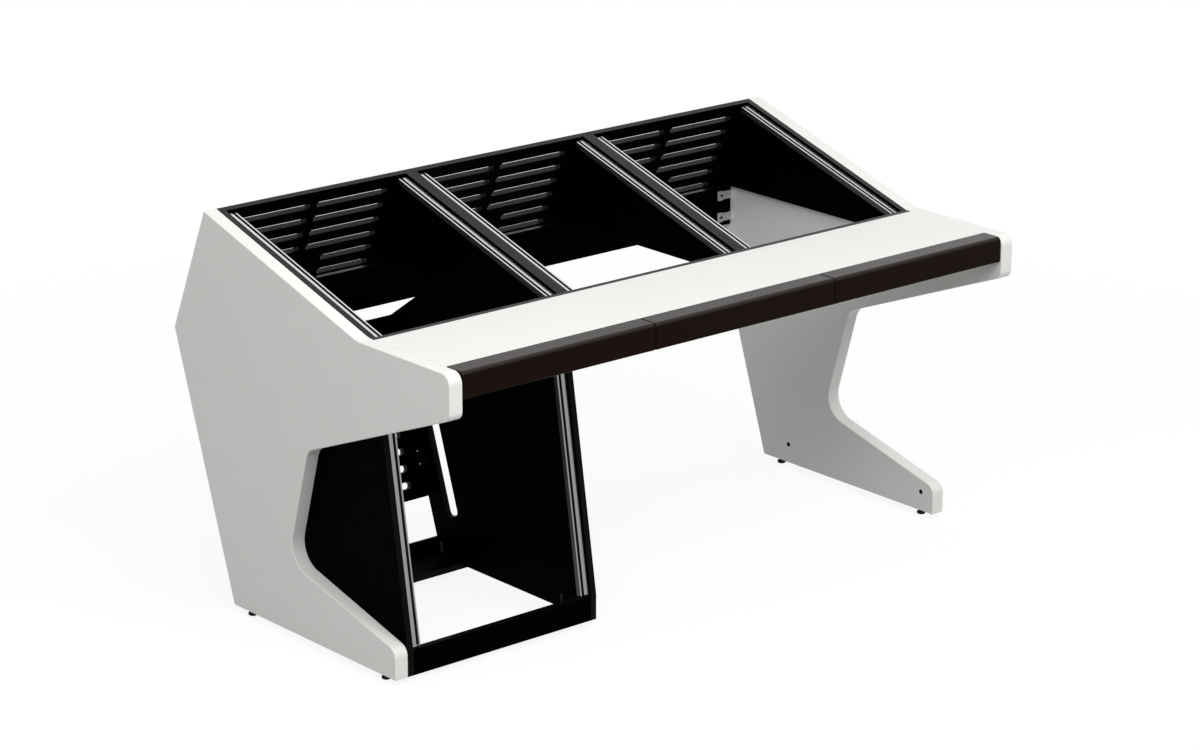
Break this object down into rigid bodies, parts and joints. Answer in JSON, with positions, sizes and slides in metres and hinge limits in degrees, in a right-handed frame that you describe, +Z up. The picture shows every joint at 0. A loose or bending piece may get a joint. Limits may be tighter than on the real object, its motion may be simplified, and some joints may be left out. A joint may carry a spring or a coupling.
{
  "type": "studio desk",
  "caption": "White and black studio desk with three sloping rack bays, a lower rack and a padded front edge",
  "frame": {"origin": "on the floor, under the middle of the desk's bounding box", "axes": "+X to the right of the person at the desk, +Y to the back, +Z up"},
  "size_m": [1.66, 0.9996, 0.9198],
  "materials": {
    "white_panel": "smooth white laminate on board",
    "black_board": "black laminate on board",
    "rail_aluminium": "natural anodised extrusion",
    "pad_leather": "dark brown imitation leather",
    "zinc_steel": "zinc plated",
    "bright_steel": "bright plated",
    "black_steel": "black",
    "foot_rubber": "moulded",
    "beech_dowel": "plain"
  },
  "bodies": {
    "desk": {"left_side_panel": "white_panel", "right_side_panel": "white_panel", "work_top": "white_panel", "front_board": "black_board", "bay_1_left_board": "black_board", "bay_1_right_board": "black_board", "bay_2_left_board": "black_board", "bay_2_right_board": "black_board", "bay_3_left_board": "black_board", "bay_3_right_board": "black_board", "vent_panel": "black_board", "back_rail": "black_board", "rack_left_wall": "black_board", "rack_right_wall": "black_board", "rack_front_bar": "black_board", "rack_shelf": "black_board", "rack_kick_bar": "black_board", "rack_back_panel": "black_board", "rail_1_left": "rail_aluminium", "rail_1_right": "rail_aluminium", "rail_2_left": "rail_aluminium", "rail_2_right": "rail_aluminium", "rail_3_left": "rail_aluminium", "rail_3_right": "rail_aluminium", "rack_rail_left": "rail_aluminium", "rack_rail_right": "rail_aluminium", "left_pad": "pad_leather", "middle_pad": "pad_leather", "right_pad": "pad_leather", "pad_brackets": "zinc_steel", "pad_bracket_screws": "zinc_steel", "corner_brackets": "zinc_steel", "corner_bracket_screws": "black_steel", "angle_brackets": "black_steel", "angle_bracket_screws": "bright_steel", "bay_rail_studs": "zinc_steel", "rack_rail_studs": "zinc_steel", "panel_screws": "black_steel", "bay_connectors": "black_steel", "rack_wall_bolts": "black_steel", "wall_dowels": "beech_dowel", "bar_dowels": "beech_dowel", "top_dowels": "beech_dowel", "rack_inserts": "black_steel", "foot_inserts": "zinc_steel", "foot_bracket": "zinc_steel"},
    "foot_1_base": {"foot_1_pad": "foot_rubber"},
    "foot_1_screw": {"foot_1_stud": "bright_steel"},
    "foot_2_base": {"foot_2_pad": "foot_rubber"},
    "foot_2_screw": {"foot_2_stud": "bright_steel"},
    "foot_3_base": {"foot_3_pad": "foot_rubber"},
    "foot_3_screw": {"foot_3_stud": "bright_steel"},
    "foot_4_base": {"foot_4_pad": "foot_rubber"},
    "foot_4_screw": {"foot_4_stud": "bright_steel"},
    "foot_5_base": {"foot_5_pad": "foot_rubber"},
    "foot_5_screw": {"foot_5_stud": "bright_steel"},
    "foot_6_base": {"foot_6_pad": "foot_rubber"},
    "foot_6_screw": {"foot_6_stud": "bright_steel"}
  },
  "joints": [
    {"name": "foot_1_height", "type": "slide", "parent": "desk", "child": "foot_1_base", "axis": [0, 0, -1], "range_m": [0, 0.01]},
    {"name": "foot_1_turn", "type": "hinge", "parent": "foot_1_base", "child": "foot_1_screw", "pos_m": [-0.8125, -0.24475, 0.01], "axis": [0, 0, 1], "range_deg": [0, 2880]},
    {"name": "foot_2_height", "type": "slide", "parent": "desk", "child": "foot_2_base", "axis": [0, 0, -1], "range_m": [0, 0.01]},
    {"name": "foot_2_turn", "type": "hinge", "parent": "foot_2_base", "child": "foot_2_screw", "pos_m": [0.8125, -0.24475, 0.01], "axis": [0, 0, 1], "range_deg": [0, 2880]},
    {"name": "foot_3_height", "type": "slide", "parent": "desk", "child": "foot_3_base", "axis": [0, 0, -1], "range_m": [0, 0.01]},
    {"name": "foot_3_turn", "type": "hinge", "parent": "foot_3_base", "child": "foot_3_screw", "pos_m": [-0.8125, 0.25025, 0.01], "axis": [0, 0, 1], "range_deg": [0, 2880]},
    {"name": "foot_4_height", "type": "slide", "parent": "desk", "child": "foot_4_base", "axis": [0, 0, -1], "range_m": [0, 0.01]},
    {"name": "foot_4_turn", "type": "hinge", "parent": "foot_4_base", "child": "foot_4_screw", "pos_m": [0.8125, 0.25025, 0.01], "axis": [0, 0, 1], "range_deg": [0, 2880]},
    {"name": "foot_5_height", "type": "slide", "parent": "desk", "child": "foot_5_base", "axis": [0, 0, -1], "range_m": [0, 0.01]},
    {"name": "foot_5_turn", "type": "hinge", "parent": "foot_5_base", "child": "foot_5_screw", "pos_m": [-0.287, -0.20575, 0.01], "axis": [0, 0, 1], "range_deg": [0, 2880]},
    {"name": "foot_6_height", "type": "slide", "parent": "desk", "child": "foot_6_base", "axis": [0, 0, -1], "range_m": [0, 0.01]},
    {"name": "foot_6_turn", "type": "hinge", "parent": "foot_6_base", "child": "foot_6_screw", "pos_m": [-0.287, 0.23125, 0.01], "axis": [0, 0, 1], "range_deg": [0, 2880]}
  ],
  "couplings": [
    {"joint": "foot_1_height", "follows": "foot_1_turn", "m_per_rad": 0.00019894},
    {"joint": "foot_2_height", "follows": "foot_2_turn", "m_per_rad": 0.00019894},
    {"joint": "foot_3_height", "follows": "foot_3_turn", "m_per_rad": 0.00019894},
    {"joint": "foot_4_height", "follows": "foot_4_turn", "m_per_rad": 0.00019894},
    {"joint": "foot_5_height", "follows": "foot_5_turn", "m_per_rad": 0.00019894},
    {"joint": "foot_6_height", "follows": "foot_6_turn", "m_per_rad": 0.00019894}
  ]
}
